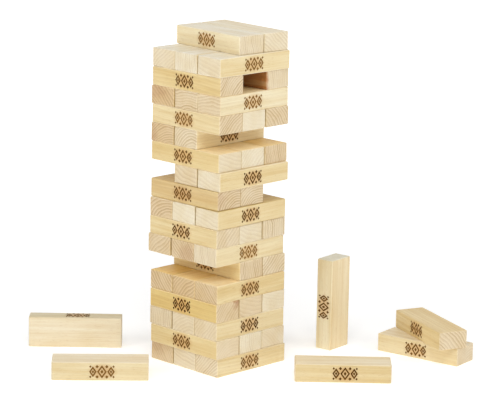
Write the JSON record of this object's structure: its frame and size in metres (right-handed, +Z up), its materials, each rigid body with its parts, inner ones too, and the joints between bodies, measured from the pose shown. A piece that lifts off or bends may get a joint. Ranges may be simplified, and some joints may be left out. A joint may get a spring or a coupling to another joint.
{
  "type": "giant tumbling tower",
  "caption": "Tall lawn-game tower of long hardwood blocks laid three to a level in crossed levels, with several blocks drawn out and lying on the ground beside it.",
  "frame": {"origin": "on the ground under the middle of the stacked tower", "axes": "+Z up the tower; odd levels lie along Y and even levels along X, with -Y the front"},
  "size_m": [0.6772, 0.7159, 0.6389],
  "materials": {
    "hardwood": "sanded, unvarnished",
    "burnt_mark": "burnt with a hot iron"
  },
  "bodies": {
    "level_01_left": {"level_01_left": "hardwood"},
    "level_01_middle": {"level_01_middle": "hardwood"},
    "level_01_right": {"level_01_right": "hardwood"},
    "level_02_front": {"level_02_front": "hardwood"},
    "level_02_middle": {"level_02_middle": "hardwood"},
    "level_02_back": {"level_02_back": "hardwood"},
    "level_03_left": {"level_03_left": "hardwood"},
    "level_03_middle": {"level_03_middle": "hardwood"},
    "level_03_right": {"level_03_right": "hardwood"},
    "level_04_front": {"level_04_front": "hardwood"},
    "level_04_middle": {"level_04_middle": "hardwood"},
    "level_04_back": {"level_04_back": "hardwood"},
    "level_05_left": {"level_05_left": "hardwood"},
    "level_05_middle": {"level_05_middle": "hardwood"},
    "level_05_right": {"level_05_right": "hardwood"},
    "level_06_middle": {"level_06_middle": "hardwood"},
    "level_06_back": {"level_06_back": "hardwood"},
    "level_07_left": {"level_07_left": "hardwood"},
    "level_07_middle": {"level_07_middle": "hardwood"},
    "level_07_right": {"level_07_right": "hardwood"},
    "level_08_front": {"level_08_front": "hardwood"},
    "level_08_middle": {"level_08_middle": "hardwood"},
    "level_08_back": {"level_08_back": "hardwood"},
    "level_09_left": {"level_09_left": "hardwood"},
    "level_09_middle": {"level_09_middle": "hardwood"},
    "level_09_right": {"level_09_right": "hardwood"},
    "level_10_front": {"level_10_front": "hardwood"},
    "level_10_middle": {"level_10_middle": "hardwood"},
    "level_11_middle": {"level_11_middle": "hardwood"},
    "level_11_right": {"level_11_right": "hardwood"},
    "level_12_front": {"level_12_front": "hardwood"},
    "level_12_middle": {"level_12_middle": "hardwood"},
    "level_12_back": {"level_12_back": "hardwood"},
    "level_13_left": {"level_13_left": "hardwood"},
    "level_13_middle": {"level_13_middle": "hardwood"},
    "level_14_front": {"level_14_front": "hardwood"},
    "level_14_middle": {"level_14_middle": "hardwood"},
    "level_14_back": {"level_14_back": "hardwood"},
    "level_15_left": {"level_15_left": "hardwood"},
    "level_15_middle": {"level_15_middle": "hardwood"},
    "level_15_right": {"level_15_right": "hardwood"},
    "level_16_front": {"level_16_front": "hardwood"},
    "level_16_back": {"level_16_back": "hardwood"},
    "level_17_left": {"level_17_left": "hardwood"},
    "level_17_middle": {"level_17_middle": "hardwood"},
    "level_17_right": {"level_17_right": "hardwood"},
    "level_18_middle": {"level_18_middle": "hardwood"},
    "level_18_back": {"level_18_back": "hardwood"},
    "drawn_on_edge": {"drawn_on_edge": "hardwood"},
    "drawn_flat_left": {"drawn_flat_left": "hardwood"},
    "drawn_standing": {"drawn_standing": "hardwood"},
    "drawn_flat_right": {"drawn_flat_right": "hardwood"},
    "drawn_pair_lower": {"drawn_pair_lower": "hardwood"},
    "drawn_pair_upper": {"drawn_pair_upper": "hardwood"}
  },
  "joints": [
    {"name": "level_01_left_slide", "type": "slide", "parent": "level_01_middle", "child": "level_01_left", "axis": [0.0105, 0.9999, 0], "range_m": [-0.06, 0.2]},
    {"name": "level_01_right_slide", "type": "slide", "parent": "level_01_middle", "child": "level_01_right", "axis": [-0.0105, -0.9999, 0], "range_m": [-0.1, 0.2]},
    {"name": "level_02_front_slide", "type": "slide", "parent": "level_01_middle", "child": "level_02_front", "axis": [1, 0, 0], "range_m": [-0.08, 0.2]},
    {"name": "level_02_middle_slide", "type": "slide", "parent": "level_01_middle", "child": "level_02_middle", "axis": [-1, 0, 0], "range_m": [-0.07, 0.2]},
    {"name": "level_02_back_slide", "type": "slide", "parent": "level_01_middle", "child": "level_02_back", "axis": [-1, 0, 0], "range_m": [-0.06, 0.2]},
    {"name": "level_03_left_slide", "type": "slide", "parent": "level_01_middle", "child": "level_03_left", "axis": [0.0035, 1, 0], "range_m": [-0.2, 0.2]},
    {"name": "level_03_middle_slide", "type": "slide", "parent": "level_01_middle", "child": "level_03_middle", "axis": [0.0035, 1, 0], "range_m": [-0.2, 0.2]},
    {"name": "level_03_right_slide", "type": "slide", "parent": "level_01_middle", "child": "level_03_right", "axis": [-0.0035, -1, 0], "range_m": [-0.1, 0.2]},
    {"name": "level_04_front_slide", "type": "slide", "parent": "level_01_middle", "child": "level_04_front", "axis": [1, 0, 0], "range_m": [-0.2, 0.2]},
    {"name": "level_04_middle_slide", "type": "slide", "parent": "level_01_middle", "child": "level_04_middle", "axis": [-1, 0, 0], "range_m": [-0.2, 0.2]},
    {"name": "level_04_back_slide", "type": "slide", "parent": "level_01_middle", "child": "level_04_back", "axis": [-1, 0, 0], "range_m": [-0.2, 0.2]},
    {"name": "level_05_left_slide", "type": "slide", "parent": "level_01_middle", "child": "level_05_left", "axis": [0.0017, 1, 0], "range_m": [-0.2, 0.2]},
    {"name": "level_05_middle_slide", "type": "slide", "parent": "level_01_middle", "child": "level_05_middle", "axis": [0.0017, 1, 0], "range_m": [-0.2, 0.2]},
    {"name": "level_05_right_slide", "type": "slide", "parent": "level_01_middle", "child": "level_05_right", "axis": [-0.0017, -1, 0], "range_m": [-0.1, 0.2]},
    {"name": "level_06_middle_slide", "type": "slide", "parent": "level_01_middle", "child": "level_06_middle", "axis": [-1, -0.0017, 0], "range_m": [-0.2, 0.2]},
    {"name": "level_06_back_slide", "type": "slide", "parent": "level_01_middle", "child": "level_06_back", "axis": [-1, -0.0017, 0], "range_m": [-0.2, 0.2]},
    {"name": "level_07_left_slide", "type": "slide", "parent": "level_01_middle", "child": "level_07_left", "axis": [0, 1, 0], "range_m": [-0.2, 0.2]},
    {"name": "level_07_middle_slide", "type": "slide", "parent": "level_01_middle", "child": "level_07_middle", "axis": [0, 1, 0], "range_m": [-0.2, 0.2]},
    {"name": "level_07_right_slide", "type": "slide", "parent": "level_01_middle", "child": "level_07_right", "axis": [0, -1, 0], "range_m": [-0.2, 0.2]},
    {"name": "level_08_front_slide", "type": "slide", "parent": "level_01_middle", "child": "level_08_front", "axis": [1, 0.0035, 0], "range_m": [-0.2, 0.2]},
    {"name": "level_08_middle_slide", "type": "slide", "parent": "level_01_middle", "child": "level_08_middle", "axis": [-1, -0.0035, 0], "range_m": [-0.2, 0.2]},
    {"name": "level_08_back_slide", "type": "slide", "parent": "level_01_middle", "child": "level_08_back", "axis": [-1, -0.0035, 0], "range_m": [-0.2, 0.2]},
    {"name": "level_09_left_slide", "type": "slide", "parent": "level_01_middle", "child": "level_09_left", "axis": [-0.0052, 1, 0], "range_m": [-0.2, 0.2]},
    {"name": "level_09_middle_slide", "type": "slide", "parent": "level_01_middle", "child": "level_09_middle", "axis": [-0.0052, 1, 0], "range_m": [-0.2, 0.2]},
    {"name": "level_09_right_slide", "type": "slide", "parent": "level_01_middle", "child": "level_09_right", "axis": [0.0052, -1, 0], "range_m": [-0.2, 0.2]},
    {"name": "level_10_front_slide", "type": "slide", "parent": "level_01_middle", "child": "level_10_front", "axis": [1, 0, 0], "range_m": [-0.2, 0.2]},
    {"name": "level_10_middle_slide", "type": "slide", "parent": "level_01_middle", "child": "level_10_middle", "axis": [-1, 0, 0], "range_m": [-0.2, 0.2]},
    {"name": "level_11_middle_slide", "type": "slide", "parent": "level_01_middle", "child": "level_11_middle", "axis": [0.0017, 1, 0], "range_m": [-0.2, 0.2]},
    {"name": "level_11_right_slide", "type": "slide", "parent": "level_01_middle", "child": "level_11_right", "axis": [-0.0017, -1, 0], "range_m": [-0.2, 0.2]},
    {"name": "level_12_front_slide", "type": "slide", "parent": "level_01_middle", "child": "level_12_front", "axis": [1, 0.0035, 0], "range_m": [-0.2, 0.2]},
    {"name": "level_12_middle_slide", "type": "slide", "parent": "level_01_middle", "child": "level_12_middle", "axis": [-1, -0.0035, 0], "range_m": [-0.2, 0.2]},
    {"name": "level_12_back_slide", "type": "slide", "parent": "level_01_middle", "child": "level_12_back", "axis": [-1, -0.0035, 0], "range_m": [-0.2, 0.2]},
    {"name": "level_13_left_slide", "type": "slide", "parent": "level_01_middle", "child": "level_13_left", "axis": [-0.0052, 1, 0], "range_m": [-0.2, 0.2]},
    {"name": "level_13_middle_slide", "type": "slide", "parent": "level_01_middle", "child": "level_13_middle", "axis": [-0.0052, 1, 0], "range_m": [-0.2, 0.2]},
    {"name": "level_14_front_slide", "type": "slide", "parent": "level_01_middle", "child": "level_14_front", "axis": [1, 0.0017, 0], "range_m": [-0.2, 0.2]},
    {"name": "level_14_middle_slide", "type": "slide", "parent": "level_01_middle", "child": "level_14_middle", "axis": [-1, -0.0017, 0], "range_m": [-0.2, 0.2]},
    {"name": "level_14_back_slide", "type": "slide", "parent": "level_01_middle", "child": "level_14_back", "axis": [-1, -0.0017, 0], "range_m": [-0.2, 0.2]},
    {"name": "level_15_left_slide", "type": "slide", "parent": "level_01_middle", "child": "level_15_left", "axis": [-0.007, 1, 0], "range_m": [-0.2, 0.2]},
    {"name": "level_15_middle_slide", "type": "slide", "parent": "level_01_middle", "child": "level_15_middle", "axis": [-0.007, 1, 0], "range_m": [-0.2, 0.2]},
    {"name": "level_15_right_slide", "type": "slide", "parent": "level_01_middle", "child": "level_15_right", "axis": [0.007, -1, 0], "range_m": [-0.2, 0.2]},
    {"name": "level_16_front_slide", "type": "slide", "parent": "level_01_middle", "child": "level_16_front", "axis": [1, 0.007, 0], "range_m": [-0.2, 0.2]},
    {"name": "level_16_back_slide", "type": "slide", "parent": "level_01_middle", "child": "level_16_back", "axis": [-1, -0.007, 0], "range_m": [-0.2, 0.2]},
    {"name": "level_17_left_slide", "type": "slide", "parent": "level_01_middle", "child": "level_17_left", "axis": [0.0157, 0.9999, 0], "range_m": [-0.2, 0.2]},
    {"name": "level_17_middle_slide", "type": "slide", "parent": "level_01_middle", "child": "level_17_middle", "axis": [0.0157, 0.9999, 0], "range_m": [-0.2, 0.2]},
    {"name": "level_17_right_slide", "type": "slide", "parent": "level_01_middle", "child": "level_17_right", "axis": [-0.0157, -0.9999, 0], "range_m": [-0.2, 0.2]},
    {"name": "level_18_middle_lift", "type": "slide", "parent": "level_01_middle", "child": "level_18_middle", "axis": [0, 0, 1], "range_m": [0, 0.15]},
    {"name": "level_18_back_lift", "type": "slide", "parent": "level_01_middle", "child": "level_18_back", "axis": [0, 0, 1], "range_m": [0, 0.15]},
    {"name": "drawn_on_edge_lift", "type": "slide", "parent": "level_01_middle", "child": "drawn_on_edge", "axis": [0, 0, 1], "range_m": [0, 0.15]},
    {"name": "drawn_flat_left_lift", "type": "slide", "parent": "level_01_middle", "child": "drawn_flat_left", "axis": [0, 0, 1], "range_m": [0, 0.15]},
    {"name": "drawn_standing_lift", "type": "slide", "parent": "level_01_middle", "child": "drawn_standing", "axis": [0, 0, 1], "range_m": [0, 0.15]},
    {"name": "drawn_flat_right_lift", "type": "slide", "parent": "level_01_middle", "child": "drawn_flat_right", "axis": [0, 0, 1], "range_m": [0, 0.15]},
    {"name": "drawn_pair_lower_lift", "type": "slide", "parent": "level_01_middle", "child": "drawn_pair_lower", "axis": [0, 0, 1], "range_m": [0, 0.15]},
    {"name": "drawn_pair_upper_lift", "type": "slide", "parent": "drawn_pair_lower", "child": "drawn_pair_upper", "axis": [0, 0, 1], "range_m": [0, 0.15]}
  ]
}
